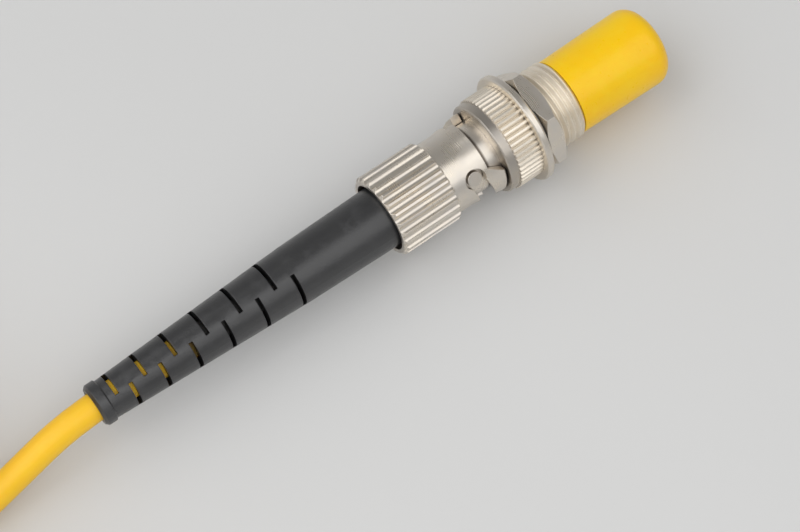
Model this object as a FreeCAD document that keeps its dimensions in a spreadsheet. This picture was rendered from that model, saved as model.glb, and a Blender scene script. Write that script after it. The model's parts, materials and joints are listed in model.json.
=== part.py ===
"""Bayonet fibre optic bulkhead adapter, with the plug of a simplex pigtail and a push-on cap fitted to it.

Millimetres. Every turned piece is drawn round the X axis with x = 0 on the face that seats on the panel,
+X towards the capped port and -X towards the cord. Each piece's Placement then lays the adapter on its
flange, with the origin on the floor below the middle of everything but the free cord.
"""
import FreeCAD, Part
import math
import os
import Sketcher

SIZES = [
    # adapter body
    ("flange_dia", 12.3, "flange that seats on the panel"),
    ("flange_thick", 0.8, "flange thickness"),
    ("knurl_dia", 10.6, "knurled shoulder behind the flange"),
    ("knurl_len", 2.85, "length of the knurl"),
    ("knurl_depth", 0.22, "depth of a knurl groove"),
    ("knurl_width", 0.4, "width of a knurl groove at the surface"),
    ("knurl_count", 52, "knurl grooves"),
    ("collar_dia", 10.2, "plain rim of the shoulder"),
    ("collar_len", 1.05, "length of the plain rim"),
    ("thread_dia", 9.0, "major diameter of the panel thread"),
    ("thread_len", 5.4, "threaded length from the panel face"),
    ("barrel_dia", 7.0, "outside of both bayonet barrels"),
    ("near_barrel_len", 4.8, "barrel on the cord side"),
    ("far_barrel_len", 8.9, "barrel on the capped side"),
    ("port_bore", 5.0, "socket for a plug's nose"),
    ("port_depth", 5.7, "depth of each socket"),
    ("housing_bore", 4.4, "bore that holds the sleeve housing"),
    ("lug_dia", 1.6, "bayonet lug"),
    ("lug_across", 7.9, "over both lugs"),
    ("lug_setback", 1.4, "lug centre behind the barrel's end"),
    ("keyway_width", 1.4, "keyway in each barrel"),
    ("keyway_len", 3.0, "length of a keyway"),
    ("bayonet_clock", 53, "turn of the lugs about X, degrees"),
    ("edge_break", 0.15, "small chamfer on turned edges"),
    ("cut_overrun", 1.0, "how far a cutting profile runs past the metal"),
    # alignment sleeve and its housing
    ("press_gap", 0.01, "radial gap drawn at a press fit"),
    ("housing_wall", 0.54, "wall of the sleeve housing"),
    ("housing_lip", 0.5, "length of the lips that trap the sleeve"),
    ("lip_hole", 2.7, "hole in the housing lips"),
    ("sleeve_wall", 0.34, "wall of the split sleeve"),
    ("sleeve_gap", 0.01, "radial gap between sleeve and ferrule"),
    ("sleeve_float", 0.03, "room at each end of the sleeve"),
    ("sleeve_slit", 16, "slit of the split sleeve, degrees"),
    # plug
    ("ferrule_dia", 2.5, "ferrule"),
    ("ferrule_chamfer", 0.35, "chamfer round the polished end"),
    ("funnel_dia", 1.1, "funnel in the back of the ferrule"),
    ("funnel_depth", 2.0, "depth of that funnel"),
    ("nose_gap", 0.4, "nose to the end of the socket"),
    ("nose_clear", 0.05, "radial gap of the nose in the socket"),
    ("seat_gap", 0.1, "plug flange to the end of the barrel"),
    ("plug_flange_clear", 0.11, "radial gap of the spring flange in the coupling nut"),
    ("plug_flange_thick", 1.0, "thickness of that flange"),
    ("plug_barrel_dia", 4.9, "barrel that the coupling nut turns on"),
    ("plug_land", 0.2, "barrel left behind the clip"),
    ("post_dia", 3.6, "crimp post"),
    ("post_len", 5.8, "length of the crimp post"),
    ("fibre_bore", 1.2, "bore of plug and jacket for the buffered fibre"),
    ("key_clear", 0.1, "key to the sides of its keyway"),
    ("key_len", 2.2, "length of the key"),
    ("key_drop", 0.25, "key top below the barrel's outside"),
    ("buffer_dia", 0.9, "buffered fibre"),
    ("buffer_tail", 8.0, "buffered fibre past the crimp post"),
    # coupling nut, spring and clip
    ("grip_dia", 9.14, "fluted grip of the coupling nut"),
    ("grip_len", 6.93, "length of the grip"),
    ("grip_chamfer", 0.35, "chamfer at the rear of the grip"),
    ("flute_dia", 0.95, "cutter that makes a flute"),
    ("flute_depth", 0.36, "depth of a flute"),
    ("flute_count", 24, "flutes"),
    ("neck_dia", 8.16, "neck in front of the grip"),
    ("neck_len", 2.1, "straight part of the neck"),
    ("rim_dia", 9.1, "front rim of the nut"),
    ("rim_len", 0.5, "length of the front rim"),
    ("nut_gap", 0.15, "front rim to the adapter's collar"),
    ("nut_clear", 0.06, "radial gap of the nut on the barrel"),
    ("nut_lip", 0.7, "inner lip that the spring pushes"),
    ("lip_clear", 0.1, "radial gap of that lip on the plug"),
    ("grip_wall", 0.41, "wall between the flutes and the recess that the boot enters"),
    ("recess_depth", 3.85, "depth of that recess"),
    ("slot_clear", 0.1, "lug to the sides of the bayonet slot"),
    ("lock_hole", 2.3, "round end of the bayonet slot"),
    ("ramp_rise", 1.6, "travel of the nut along the ramp"),
    ("ramp_turn", 75, "turn of the nut along the ramp, degrees"),
    ("washer_thick", 0.3, "thrust washer"),
    ("washer_clear", 0.11, "radial gap of the washer in the nut"),
    ("face_gap", 0.02, "gap drawn between faces that turn on each other"),
    ("spring_wire", 0.4, "wire of the coupling spring"),
    ("spring_mean", 6.0, "mean diameter of the spring"),
    ("spring_len", 2.2, "length of the spring when coupled"),
    ("spring_turns", 3.5, "turns of the spring"),
    ("clip_thick", 0.5, "retaining clip"),
    ("clip_dia", 6.4, "outside of the clip"),
    ("clip_groove", 4.2, "floor of the clip's groove"),
    ("clip_clear", 0.05, "gaps of the clip in its groove"),
    ("clip_stop", 0.1, "lip to the clip when the nut is let go"),
    ("clip_turn", 300, "how far the clip goes round, degrees"),
    # crimp, boot and jacket
    ("yarn_thick", 0.22, "aramid yarn folded over the crimp post"),
    ("crimp_wall", 0.3, "wall of the crimp sleeve"),
    ("crimp_gap", 0.15, "crimp sleeve to the plug's barrel"),
    ("crimp_neck", 4.0, "part of the crimp sleeve on the jacket"),
    ("crimp_step", 0.8, "cone between the two parts"),
    ("jacket_gap", 0.02, "radial gap drawn round the jacket"),
    ("cord_dia", 3.0, "jacket of the cord"),
    ("boot_seat", 0.05, "boot to the plug's barrel"),
    ("boot_len", 35.65, "length of the boot"),
    ("boot_gap", 0.43, "radial gap of the boot in the nut's recess"),
    ("boot_shoulder_dia", 6.3, "boot where the slots start"),
    ("boot_shoulder", 11.8, "front of the boot to that place"),
    ("boot_tail_dia", 4.25, "boot in front of its tail bead"),
    ("bead_dia", 4.6, "tail bead"),
    ("bead_len", 1.35, "length of the tail bead"),
    ("boot_clear", 0.05, "radial gap of the boot on the crimp sleeve"),
    ("cord_clear", 0.08, "radial gap of the boot on the cord"),
    ("slot_width", 0.45, "bend relief slots"),
    ("slot_share", 0.74, "half height of a slot over the boot's radius"),
    ("slot_start", 2.3, "tail to the middle of the last slot"),
    ("slot_pitch", 1.62, "first pitch, at the tail"),
    ("slot_growth", 0.05, "growth of each pitch towards the nut"),
    ("slot_count", 12, "stations of slots"),
    ("boot_clock", 68, "turn of the boot about X, degrees"),
    ("cord_joint", 1.5, "how far inside the boot the free cord starts"),
    # dust cap
    ("cap_gap", 0.06, "cap mouth to the end of the thread"),
    ("cap_mouth_dia", 8.6, "outside of the cap at its mouth"),
    ("cap_dia", 8.9, "outside of the cap near its closed end"),
    ("cap_end_room", 1.0, "barrel's end to the floor of the cap"),
    ("cap_end_wall", 1.8, "closed end of the cap"),
    ("cap_round", 1.7, "round of the closed end"),
    ("cap_clear", 0.05, "radial gap of the cap on the barrel"),
    ("channel_clear", 0.06, "lug to the cap's channels"),
    # panel nut and lock washer
    ("lock_thick", 0.38, "lock washer"),
    ("lock_dia", 10.4, "outside of the lock washer"),
    ("lock_clear", 0.1, "radial gap of the washer on the thread"),
    ("lock_turn", 350, "how far the split washer goes round, degrees"),
    ("hex_flats", 10.0, "across the flats of the panel nut"),
    ("hex_thick", 1.86, "thickness of the panel nut"),
    ("hex_clear", 0.02, "radial gap of the nut on the thread"),
    ("hex_chamfer", 0.35, "corner chamfer of the panel nut"),
    ("hex_clock", 4, "turn of the nut about X, degrees"),
    # tied hank of spare cord
    ("hank_end", 52.0, "origin to the near end of the hank"),
    ("hank_side", 7.7, "middle of the hank to the adapter's axis"),
    ("hank_run", 26.0, "straight part of the hank"),
    ("hank_inner", 7.7, "inside radius of the hank's ends"),
    ("hank_width", 6.2, "width of the bundle"),
    ("hank_height", 15.2, "height of the bundle"),
    ("tie_thick", 0.4, "strap round the bundle"),
    ("tie_width", 5.0, "width of the strap"),
    ("tie_clear", 0.1, "strap to the bundle"),
]

doc = FreeCAD.newDocument("fibre_adapter")
sheet = doc.addObject("Spreadsheet::Sheet", "Sizes")
for row, (alias, value, note) in enumerate(SIZES, 1):
    sheet.set(f"A{row}", alias)
    sheet.set(f"B{row}", str(value))
    sheet.set(f"C{row}", note)
    sheet.setAlias(f"B{row}", alias)
doc.recompute()


def half(alias):
    """Expression for a radius from a diameter in the sheet."""
    return f"Sizes.{alias} / 2"


# Stations along the axis, as expressions of the sheet. x = 0 is the face that seats on the panel.
flange_back = "-Sizes.flange_thick"
knurl_back = f"{flange_back} - Sizes.knurl_len"
collar_back = f"{knurl_back} - Sizes.collar_len"
near_end = f"{collar_back} - Sizes.near_barrel_len"
near_port = f"{near_end} + Sizes.port_depth"
near_lug = f"{near_end} + Sizes.lug_setback"
thread_end = "Sizes.thread_len"
far_end = f"{thread_end} + Sizes.far_barrel_len"
far_port = f"{far_end} - Sizes.port_depth"
far_lug = f"{far_end} - Sizes.lug_setback"
mid_plane = f"({near_end} + {far_end}) / 2"

plug_front = f"{near_end} - Sizes.seat_gap"
plug_back = f"{plug_front} - Sizes.plug_flange_thick"
nose_front = f"{near_port} - Sizes.nose_gap"
spring_back = f"{plug_back} - Sizes.spring_len"
washer_back = f"{spring_back} - Sizes.washer_thick"
lip_front = f"{washer_back} - Sizes.face_gap"
lip_back = f"{lip_front} - Sizes.nut_lip"
nut_front = f"{collar_back} - Sizes.nut_gap"
nut_back = f"{lip_back} - Sizes.recess_depth"
grip_front = f"{nut_back} + Sizes.grip_len"
clip_front = f"{lip_back} - Sizes.ramp_rise - Sizes.clip_stop"
clip_back = f"{clip_front} - Sizes.clip_thick"
barrel_back = f"{clip_back} - Sizes.clip_clear - Sizes.plug_land"
post_back = f"{barrel_back} - Sizes.post_len"
crimp_front = f"{barrel_back} - Sizes.crimp_gap"
crimp_neck = f"{post_back} - Sizes.crimp_step"
crimp_back = f"{crimp_neck} - Sizes.crimp_neck"
boot_front = f"{barrel_back} - Sizes.boot_seat"
boot_shoulder = f"{boot_front} - Sizes.boot_shoulder"
boot_tail = f"{boot_front} - Sizes.boot_len"
bead_front = f"{boot_tail} + Sizes.bead_len"
cord_joint = f"{boot_tail} + Sizes.cord_joint"

cap_mouth = f"{thread_end} + Sizes.cap_gap"
cap_floor = f"{far_end} + Sizes.cap_end_room"
cap_end = f"{cap_floor} + Sizes.cap_end_wall"
lock_back = "Sizes.face_gap"
hex_back = f"{lock_back} + Sizes.lock_thick + Sizes.face_gap"

# Radii that come from a fit.
cavity_radius = "Sizes.housing_bore / 2 - Sizes.press_gap - Sizes.housing_wall"
sleeve_inside = "Sizes.ferrule_dia / 2 + Sizes.sleeve_gap"
nut_bore = "Sizes.barrel_dia / 2 + Sizes.nut_clear"
recess_radius = "Sizes.grip_dia / 2 - Sizes.flute_depth - Sizes.grip_wall"
lip_radius = "Sizes.plug_barrel_dia / 2 + Sizes.lip_clear"
nose_radius = "Sizes.port_bore / 2 - Sizes.nose_clear"
plug_flange_radius = f"{nut_bore} - Sizes.plug_flange_clear"
washer_radius = f"{nut_bore} - Sizes.washer_clear"
yarn_radius = "Sizes.post_dia / 2 + Sizes.press_gap + Sizes.yarn_thick"
crimp_inside = f"{yarn_radius} + Sizes.press_gap"
crimp_outside = f"{crimp_inside} + Sizes.crimp_wall"
neck_inside = "Sizes.cord_dia / 2 + Sizes.jacket_gap"
neck_outside = f"{neck_inside} + Sizes.crimp_wall"
boot_inside = f"{crimp_outside} + Sizes.boot_clear"
boot_outside = f"{recess_radius} - Sizes.boot_gap"
cord_hole = "Sizes.cord_dia / 2 + Sizes.cord_clear"
cap_bore = "Sizes.barrel_dia / 2 + Sizes.cap_clear"
slot_side = "(Sizes.lug_dia / 2 + Sizes.slot_clear)"

# Where the panel face and the axis lie in the finished frame.
datum_x = f"-(({boot_tail}) + ({cap_end})) / 2"
axis_z = half("flange_dia")


def new_body(name, clock=None):
    """Body on the adapter's axis, turned about it by the sheet's angle where one is named."""
    body = doc.addObject("PartDesign::Body", name)
    body.Label = name
    if clock:
        body.Placement.Rotation = FreeCAD.Rotation(FreeCAD.Vector(1, 0, 0), 1)
        body.setExpression("Placement.Rotation.Angle", f"Sizes.{clock}")
    body.setExpression("Placement.Base.x", datum_x)
    body.setExpression("Placement.Base.z", axis_z)
    return body


def new_sketch(body, name, role, offset=None, turn=None):
    """Sketch on one of the body's origin planes, moved along the plane's normal or turned about X."""
    sketch = body.newObject("Sketcher::SketchObject", name)
    plane = next(f for f in body.Origin.OriginFeatures if f.Role == role)
    sketch.AttachmentSupport = [(plane, "")]
    sketch.MapMode = "FlatFace"
    if turn:
        tilt = FreeCAD.Rotation(FreeCAD.Vector(1, 0, 0), 1)
        sketch.AttachmentOffset = FreeCAD.Placement(FreeCAD.Vector(), tilt)
        sketch.setExpression("AttachmentOffset.Rotation.Angle", turn)
    if offset:
        sketch.setExpression("AttachmentOffset.Base.z", offset)
    return sketch


def place(sketch, item, end, across, up):
    """Hold one point of a sketch at the place that two expressions give."""
    for kind, value, axis in (("DistanceX", across, -2), ("DistanceY", up, -1)):
        if value == "0":
            sketch.addConstraint(Sketcher.Constraint("PointOnObject", item, end, axis))
        else:
            number = sketch.addConstraint(Sketcher.Constraint(kind, -1, 1, item, end, 1.0))
            sketch.setExpression(f"Constraints[{number}]", value)


def draw_loop(sketch, corners):
    """Closed polygon whose corners are pairs of expressions."""
    first = sketch.GeometryCount
    count = len(corners)
    spots = [FreeCAD.Vector(10 * math.cos(k), 10 * math.sin(k), 0) for k in range(count)]
    for k in range(count):
        sketch.addGeometry(Part.LineSegment(spots[k], spots[(k + 1) % count]), False)
    for k in range(count):
        sketch.addConstraint(Sketcher.Constraint("Coincident", first + k, 2, first + (k + 1) % count, 1))
    for k, (across, up) in enumerate(corners):
        place(sketch, first + k, 1, across, up)


def draw_circle(sketch, across, up, diameter):
    """Circle whose centre and diameter are expressions."""
    number = sketch.addGeometry(Part.Circle(FreeCAD.Vector(1, 1, 0), FreeCAD.Vector(0, 0, 1), 1), False)
    place(sketch, number, 3, across, up)
    held = sketch.addConstraint(Sketcher.Constraint("Diameter", number, 2.0))
    sketch.setExpression(f"Constraints[{held}]", diameter)


def rectangle(left, right, low, high):
    """Corners of a rectangle, as expressions."""
    return [(left, low), (right, low), (right, high), (left, high)]


def turn_solid(body, name, corners, angle=None):
    """Solid of revolution about X from a half section."""
    sketch = new_sketch(body, f"{name}_section", "XZ_Plane")
    draw_loop(sketch, corners)
    solid = body.newObject("PartDesign::Revolution", name)
    solid.Profile = sketch
    solid.ReferenceAxis = (sketch, ["H_Axis"])
    solid.Angle = 360
    if angle:
        solid.setExpression("Angle", angle)
    doc.recompute()
    return solid


def expect_less(body, feature, before):
    """Make the feature the tip, and stop if it removed nothing."""
    body.Tip = feature
    doc.recompute()
    if feature.Shape.isNull() or feature.Shape.Volume > before - 1e-4:
        raise ValueError(f"{body.Label}: {feature.Name} cut nothing")


def turn_cut(body, name, loops):
    """Groove all the way round X from one or more half sections."""
    before = body.Shape.Volume
    sketch = new_sketch(body, f"{name}_section", "XZ_Plane")
    for corners in loops:
        draw_loop(sketch, corners)
    groove = body.newObject("PartDesign::Groove", name)
    groove.Profile = sketch
    groove.ReferenceAxis = (sketch, ["H_Axis"])
    groove.Angle = 360
    expect_less(body, groove, before)
    return groove


def pocket(body, name, sketch, length, both_ways=False, other_way=False):
    """Pocket of a given length from a sketch."""
    before = body.Shape.Volume
    cut = body.newObject("PartDesign::Pocket", name)
    cut.Profile = sketch
    cut.setExpression("Length", length)
    if both_ways:
        cut.SideType = "Symmetric"
    cut.Reversed = other_way
    expect_less(body, cut, before)
    return cut


def repeat_round(body, name, features, count):
    """Repeat cuts evenly round the body's X axis."""
    before = body.Shape.Volume
    axis = next(f for f in body.Origin.OriginFeatures if f.Role == "X_Axis")
    pattern = body.newObject("PartDesign::PolarPattern", name)
    pattern.Originals = features
    pattern.Axis = (axis, [""])
    pattern.Angle = 360
    pattern.setExpression("Occurrences", count)
    expect_less(body, pattern, before)
    return pattern


def ring(name, back, front, inside, outside, angle=None, clock=None):
    """Plain turned ring or tube."""
    body = new_body(name, clock)
    turn_solid(body, "turned", rectangle(back, front, inside, outside), angle)
    return body


pieces = []

# Adapter body: turned bar with two bayonet barrels, a knurled shoulder, the panel flange and the thread.
adapter = new_body("adapter_body", "bayonet_clock")
turn_solid(adapter, "turned", [
    (near_end, "0"),
    (near_end, f"{half('barrel_dia')} - Sizes.edge_break"),
    (f"{near_end} + Sizes.edge_break", half("barrel_dia")),
    (collar_back, half("barrel_dia")),
    (collar_back, f"{half('collar_dia')} - Sizes.edge_break"),
    (f"{collar_back} + Sizes.edge_break", half("collar_dia")),
    (knurl_back, half("collar_dia")),
    (knurl_back, half("knurl_dia")),
    (flange_back, half("knurl_dia")),
    (flange_back, f"{half('flange_dia')} - Sizes.edge_break"),
    (f"{flange_back} + Sizes.edge_break", half("flange_dia")),
    ("-Sizes.edge_break", half("flange_dia")),
    ("0", f"{half('flange_dia')} - Sizes.edge_break"),
    ("0", half("thread_dia")),
    (f"{thread_end} - 2 * Sizes.edge_break", half("thread_dia")),
    (thread_end, f"{half('thread_dia')} - 2 * Sizes.edge_break"),
    (thread_end, half("barrel_dia")),
    (f"{far_end} - Sizes.edge_break", half("barrel_dia")),
    (far_end, f"{half('barrel_dia')} - Sizes.edge_break"),
    (far_end, "0"),
])
lug_sketch = new_sketch(adapter, "lug_circles", "XY_Plane")
draw_circle(lug_sketch, near_lug, "0", "Sizes.lug_dia")
draw_circle(lug_sketch, far_lug, "0", "Sizes.lug_dia")
lugs = adapter.newObject("PartDesign::Pad", "lugs")
lugs.Profile = lug_sketch
lugs.SideType = "Symmetric"
lugs.setExpression("Length", "Sizes.lug_across")
adapter.Tip = lugs
doc.recompute()
turn_cut(adapter, "bore", [[
    (f"{near_end} - Sizes.cut_overrun", "0"),
    (f"{near_end} - Sizes.cut_overrun", half("port_bore")),
    (near_port, half("port_bore")),
    (near_port, half("housing_bore")),
    (far_port, half("housing_bore")),
    (far_port, half("port_bore")),
    (f"{far_end} + Sizes.cut_overrun", half("port_bore")),
    (f"{far_end} + Sizes.cut_overrun", "0"),
]])
keyway_sketch = new_sketch(adapter, "keyway_outlines", "XZ_Plane")
keyway_low = "-Sizes.keyway_width / 2"
keyway_high = "Sizes.keyway_width / 2"
draw_loop(keyway_sketch, rectangle(f"{near_end} - Sizes.cut_overrun", f"{near_end} + Sizes.keyway_len",
                                   keyway_low, keyway_high))
draw_loop(keyway_sketch, rectangle(f"{far_end} - Sizes.keyway_len", f"{far_end} + Sizes.cut_overrun",
                                   keyway_low, keyway_high))
pocket(adapter, "keyways", keyway_sketch, f"{half('barrel_dia')} + Sizes.cut_overrun")
knurl_sketch = new_sketch(adapter, "knurl_vee", "YZ_Plane", offset=flange_back)
draw_loop(knurl_sketch, [
    ("-Sizes.knurl_width / 2", half("knurl_dia")),
    ("0", f"{half('knurl_dia')} - Sizes.knurl_depth"),
    ("Sizes.knurl_width / 2", half("knurl_dia")),
    ("Sizes.knurl_width / 2", f"{half('knurl_dia')} + Sizes.knurl_depth"),
    ("-Sizes.knurl_width / 2", f"{half('knurl_dia')} + Sizes.knurl_depth"),
])
vee = pocket(adapter, "knurl_groove", knurl_sketch, "Sizes.knurl_len")
repeat_round(adapter, "knurl", [vee], "Sizes.knurl_count")
pieces.append(adapter)

# Split ceramic sleeve, the tube that holds it and the ring pressed in behind it.
housing = new_body("sleeve_housing")
housing_front = f"{far_port} - Sizes.housing_lip"
turn_solid(housing, "turned", [
    (near_port, half("lip_hole")),
    (f"{near_port} + Sizes.housing_lip", half("lip_hole")),
    (f"{near_port} + Sizes.housing_lip", cavity_radius),
    (housing_front, cavity_radius),
    (housing_front, f"{half('housing_bore')} - Sizes.press_gap"),
    (near_port, f"{half('housing_bore')} - Sizes.press_gap"),
])
pieces.append(housing)
pieces.append(ring("sleeve_end_ring", housing_front, far_port, half("lip_hole"),
                   f"{half('housing_bore')} - Sizes.press_gap"))
pieces.append(ring("alignment_sleeve", f"{near_port} + Sizes.housing_lip + Sizes.sleeve_float",
                   f"{housing_front} - Sizes.sleeve_float", sleeve_inside,
                   f"{sleeve_inside} + Sizes.sleeve_wall", angle="360 - Sizes.sleeve_slit"))

# Plug body: keyed nose in the near socket, spring flange, barrel with the clip's groove, crimp post.
plug = new_body("plug_body", "bayonet_clock")
ferrule_seat = f"{half('ferrule_dia')} + Sizes.press_gap"
turn_solid(plug, "turned", [
    (nose_front, ferrule_seat),
    (nose_front, f"{nose_radius} - Sizes.edge_break"),
    (f"{nose_front} - Sizes.edge_break", nose_radius),
    (plug_front, nose_radius),
    (plug_front, plug_flange_radius),
    (plug_back, plug_flange_radius),
    (plug_back, half("plug_barrel_dia")),
    (f"{clip_front} + Sizes.clip_clear", half("plug_barrel_dia")),
    (f"{clip_front} + Sizes.clip_clear", half("clip_groove")),
    (f"{clip_back} - Sizes.clip_clear", half("clip_groove")),
    (f"{clip_back} - Sizes.clip_clear", half("plug_barrel_dia")),
    (barrel_back, half("plug_barrel_dia")),
    (barrel_back, half("post_dia")),
    (post_back, half("post_dia")),
    (post_back, half("fibre_bore")),
    (plug_front, half("fibre_bore")),
    (plug_front, ferrule_seat),
])
key_root = "(Sizes.port_bore / 2 - Sizes.nose_clear - Sizes.edge_break)"
key_sketch = new_sketch(plug, "key_outline", "XZ_Plane", offset=f"-{key_root}")
draw_loop(key_sketch, rectangle(plug_front, f"{plug_front} + Sizes.key_len",
                                "-(Sizes.keyway_width / 2 - Sizes.key_clear)",
                                "Sizes.keyway_width / 2 - Sizes.key_clear"))
key = plug.newObject("PartDesign::Pad", "key")
key.Profile = key_sketch
key.Reversed = True
key.setExpression("Length", f"{half('barrel_dia')} - Sizes.key_drop - {key_root}")
plug.Tip = key
doc.recompute()
pieces.append(plug)

# Ferrule with the funnel that takes the buffered fibre.
ferrule = new_body("ferrule")
turn_solid(ferrule, "turned", [
    (plug_front, half("funnel_dia")),
    (plug_front, half("ferrule_dia")),
    (f"{mid_plane} - Sizes.ferrule_chamfer", half("ferrule_dia")),
    (mid_plane, f"{half('ferrule_dia')} - Sizes.ferrule_chamfer"),
    (mid_plane, "0"),
    (f"{plug_front} + Sizes.funnel_depth", "0"),
    (f"{plug_front} + Sizes.funnel_depth", half("buffer_dia")),
])
pieces.append(ferrule)
buffer = new_body("fibre_buffer")
turn_solid(buffer, "drawn", rectangle(f"{post_back} - Sizes.buffer_tail",
                                      f"{plug_front} + Sizes.funnel_depth - Sizes.face_gap",
                                      "0", half("buffer_dia")))
pieces.append(buffer)

# Yarn folded back over the post, and the sleeve crimped on it and on the jacket.
pieces.append(ring("aramid_yarn", post_back, crimp_front,
                   f"{half('post_dia')} + Sizes.press_gap", yarn_radius))
crimp = new_body("crimp_sleeve")
turn_solid(crimp, "turned", [
    (crimp_front, crimp_inside),
    (crimp_front, crimp_outside),
    (post_back, crimp_outside),
    (crimp_neck, neck_outside),
    (crimp_back, neck_outside),
    (crimp_back, neck_inside),
    (crimp_neck, neck_inside),
    (post_back, crimp_inside),
])
pieces.append(crimp)
pieces.append(ring("retaining_clip", clip_back, clip_front, f"{half('clip_groove')} + Sizes.clip_clear",
                   half("clip_dia"), angle="Sizes.clip_turn"))

# Coupling spring and the washer that the nut's lip turns on.
spring = new_body("coupling_spring")
wire_sketch = new_sketch(spring, "wire", "XZ_Plane")
draw_circle(wire_sketch, f"{spring_back} + {half('spring_wire')}", half("spring_mean"), "Sizes.spring_wire")
coil = spring.newObject("PartDesign::AdditiveHelix", "coil")
coil.Profile = wire_sketch
coil.ReferenceAxis = (wire_sketch, ["H_Axis"])
coil.Mode = "height-turns-angle"
coil.setExpression("Height", "Sizes.spring_len - Sizes.spring_wire")
coil.setExpression("Turns", "Sizes.spring_turns")
doc.recompute()
pieces.append(spring)
pieces.append(ring("thrust_washer", washer_back, spring_back, lip_radius, washer_radius))

# Coupling nut: fluted grip, necked front with two bayonet slots, and a recess that the boot enters.
nut = new_body("coupling_nut", "bayonet_clock")
turn_solid(nut, "turned", [
    (nut_back, recess_radius),
    (lip_back, recess_radius),
    (lip_back, lip_radius),
    (lip_front, lip_radius),
    (lip_front, nut_bore),
    (nut_front, nut_bore),
    (nut_front, f"{half('rim_dia')} - Sizes.edge_break"),
    (f"{nut_front} - Sizes.edge_break", half("rim_dia")),
    (f"{nut_front} - Sizes.rim_len", half("rim_dia")),
    (f"{grip_front} + Sizes.neck_len", half("neck_dia")),
    (grip_front, half("neck_dia")),
    (grip_front, f"{half('grip_dia')} - Sizes.edge_break"),
    (f"{grip_front} - Sizes.edge_break", half("grip_dia")),
    (f"{nut_back} + Sizes.grip_chamfer", half("grip_dia")),
    (nut_back, f"{half('grip_dia')} - Sizes.grip_chamfer"),
])
flute_sketch = new_sketch(nut, "flute_circle", "YZ_Plane", offset=grip_front)
flute_middle = f"{half('grip_dia')} - Sizes.flute_depth + {half('flute_dia')}"
draw_circle(flute_sketch, "0", flute_middle, "Sizes.flute_dia")
flute = pocket(nut, "flute", flute_sketch, "Sizes.grip_len")
repeat_round(nut, "flutes", [flute], "Sizes.flute_count")
lock_sketch = new_sketch(nut, "lock_circle", "XY_Plane")
draw_circle(lock_sketch, near_lug, "0", "Sizes.lock_hole")
lock = pocket(nut, "lock_hole", lock_sketch, f"{half('grip_dia')} + Sizes.cut_overrun", other_way=True)
ramp_sketch = new_sketch(nut, "ramp_section", "XZ_Plane")
draw_loop(ramp_sketch, rectangle(f"{near_lug} - {slot_side}", f"{near_lug} + {slot_side}",
                                 f"{half('barrel_dia')} - Sizes.nut_clear",
                                 f"{half('grip_dia')} + Sizes.cut_overrun"))
whole_nut = nut.Shape.Volume
ramp = nut.newObject("PartDesign::SubtractiveHelix", "ramp")
ramp.Profile = ramp_sketch
ramp.ReferenceAxis = (ramp_sketch, ["H_Axis"])
ramp.Mode = "height-turns-angle"
ramp.setExpression("Height", "Sizes.ramp_rise")
ramp.setExpression("Turns", "Sizes.ramp_turn / 360")
expect_less(nut, ramp, whole_nut)
entry_sketch = new_sketch(nut, "entry_outline", "XY_Plane", turn="Sizes.ramp_turn")
draw_loop(entry_sketch, rectangle(f"{near_lug} + Sizes.ramp_rise - {slot_side}",
                                  f"{nut_front} + Sizes.cut_overrun",
                                  f"-{slot_side}", slot_side))
entry = pocket(nut, "entry", entry_sketch, f"{half('grip_dia')} + Sizes.cut_overrun", other_way=True)
repeat_round(nut, "bayonet_slots", [lock, ramp, entry], "2")
pieces.append(nut)

# Bend relief boot: tapered tube cut by slots that alternate between two directions at right angles.
boot = new_body("strain_boot", "boot_clock")
turn_solid(boot, "moulded", [
    (boot_front, boot_inside),
    (boot_front, f"{boot_outside} - 2 * Sizes.edge_break"),
    (f"{boot_front} - 2 * Sizes.edge_break", boot_outside),
    (boot_shoulder, half("boot_shoulder_dia")),
    (bead_front, half("boot_tail_dia")),
    (f"{bead_front} - Sizes.edge_break", half("bead_dia")),
    (f"{boot_tail} + 2 * Sizes.edge_break", half("bead_dia")),
    (boot_tail, f"{half('bead_dia')} - 2 * Sizes.edge_break"),
    (boot_tail, cord_hole),
    (f"{crimp_back} - Sizes.crimp_gap", cord_hole),
    (f"{crimp_back} - Sizes.crimp_gap", boot_inside),
])
taper = f"(({half('boot_shoulder_dia')}) - ({half('boot_tail_dia')})) / (({boot_shoulder}) - ({bead_front}))"
slot_sketches = [
    new_sketch(boot, "slots_one_way", "XY_Plane"),
    new_sketch(boot, "slots_other_way", "XZ_Plane"),
]
for k in range(int(sheet.get("slot_count"))):
    from_tail = f"(Sizes.slot_start + {k} * Sizes.slot_pitch + {k * (k - 1) // 2} * Sizes.slot_growth)"
    radius = f"({half('boot_tail_dia')} + {taper} * ({from_tail} - Sizes.bead_len))"
    middle = f"{boot_tail} + {from_tail}"
    draw_loop(slot_sketches[(k + 1) % 2], rectangle(f"{middle} - Sizes.slot_width / 2",
                                                    f"{middle} + Sizes.slot_width / 2",
                                                    f"-Sizes.slot_share * {radius}",
                                                    f"Sizes.slot_share * {radius}"))
for sketch in slot_sketches:
    slot_depth = f"2 * ({boot_outside}) + 2 * Sizes.cut_overrun"
    pocket(boot, f"{sketch.Name}_cut", sketch, slot_depth, both_ways=True)
pieces.append(boot)
pieces.append(ring("cord_in_boot", cord_joint, f"{post_back} - Sizes.face_gap",
                   half("fibre_bore"), half("cord_dia")))

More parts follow.
